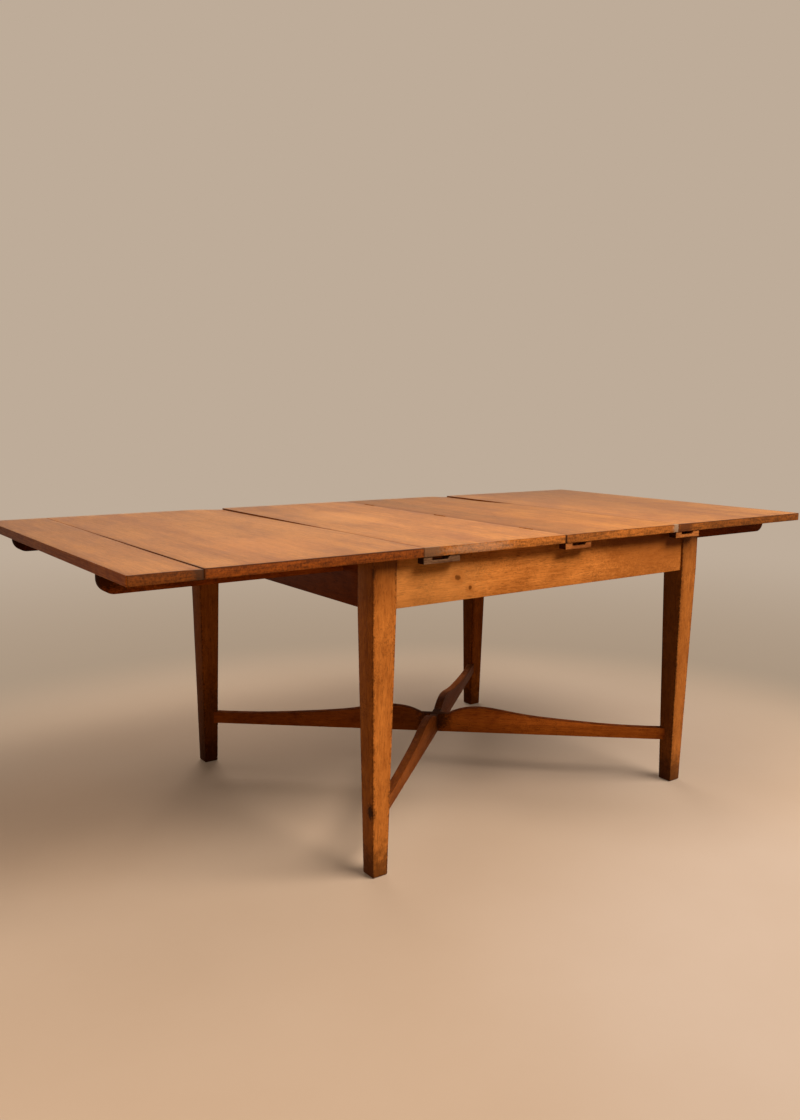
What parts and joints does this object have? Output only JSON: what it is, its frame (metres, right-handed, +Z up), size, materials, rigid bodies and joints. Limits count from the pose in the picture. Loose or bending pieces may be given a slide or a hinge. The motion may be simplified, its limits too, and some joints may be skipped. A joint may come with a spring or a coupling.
{
  "type": "extending dining table",
  "caption": "Draw-top wooden dining table on square tapered legs with crossed stretchers, shown open with its hinged centre leaf in place.",
  "frame": {"origin": "on the floor, under the middle of the open top", "axes": "+X along the table from the end-board end to the other, +Y towards the back, +Z up"},
  "size_m": [2.1106, 1.01, 0.7616],
  "materials": {
    "top_wood": "satin oiled oak with a soft sheen",
    "base_wood": "satin stained oak",
    "under_wood": "dull stained oak",
    "keeper_wood": "worn oak",
    "brass": "aged",
    "steel": "dull"
  },
  "bodies": {
    "frame": {"leg_front_left": "base_wood", "leg_front_right": "base_wood", "leg_back_left": "base_wood", "leg_back_right": "base_wood", "apron_front": "base_wood", "apron_back": "base_wood", "apron_left": "base_wood", "apron_right": "base_wood", "corner_brace_front_left": "under_wood", "corner_brace_front_right": "under_wood", "corner_brace_back_left": "under_wood", "corner_brace_back_right": "under_wood", "brace_screws": "steel", "guide_rail_front": "under_wood", "guide_rail_back": "under_wood", "stretcher_falling": "base_wood", "stretcher_rising": "base_wood", "stretcher_peg": "under_wood"},
    "left_half": {"end_board": "top_wood", "end_board_spline": "under_wood", "left_panel": "top_wood", "bearer_left_front": "under_wood", "bearer_left_back": "under_wood", "bearer_screws_left": "steel", "stop_pegs_left": "under_wood"},
    "right_half": {"right_panel": "top_wood", "bearer_right_front": "under_wood", "bearer_right_back": "under_wood", "bearer_screws_right": "steel", "stop_pegs_right": "under_wood", "keeper_right_panel_front": "keeper_wood", "keeper_right_panel_back": "keeper_wood", "keeper_screws_right_panel": "steel"},
    "leaf_left": {"leaf_left_panel": "top_wood", "keeper_leaf_left_front": "keeper_wood", "keeper_leaf_left_back": "keeper_wood", "keeper_screws_leaf_left": "steel", "cleat_leaf_left_front": "under_wood", "cleat_leaf_left_back": "under_wood", "cleat_screws_leaf_left": "steel", "hinge_plates_leaf_left": "brass", "hinge_screws_leaf_left": "steel", "hinge_pins": "brass"},
    "leaf_right": {"leaf_right_panel": "top_wood", "keeper_leaf_right_front": "keeper_wood", "keeper_leaf_right_back": "keeper_wood", "keeper_screws_leaf_right": "steel", "cleat_leaf_right_front": "under_wood", "cleat_leaf_right_back": "under_wood", "cleat_screws_leaf_right": "steel", "hinge_plates_leaf_right": "brass", "hinge_screws_leaf_right": "steel"}
  },
  "joints": [
    {"name": "left_half_slide", "type": "slide", "parent": "frame", "child": "left_half", "axis": [-1, 0, 0], "range_m": [0, 0.06]},
    {"name": "right_half_slide", "type": "slide", "parent": "frame", "child": "right_half", "axis": [1, 0, 0], "range_m": [0, 0.06]},
    {"name": "leaf_lift", "type": "slide", "parent": "frame", "child": "leaf_left", "axis": [0, 0, 1], "range_m": [0, 0.3]},
    {"name": "leaf_fold", "type": "hinge", "parent": "leaf_left", "child": "leaf_right", "pos_m": [0.05575, 0, 0.76], "axis": [0, -1, 0], "range_deg": [0, 180]}
  ]
}
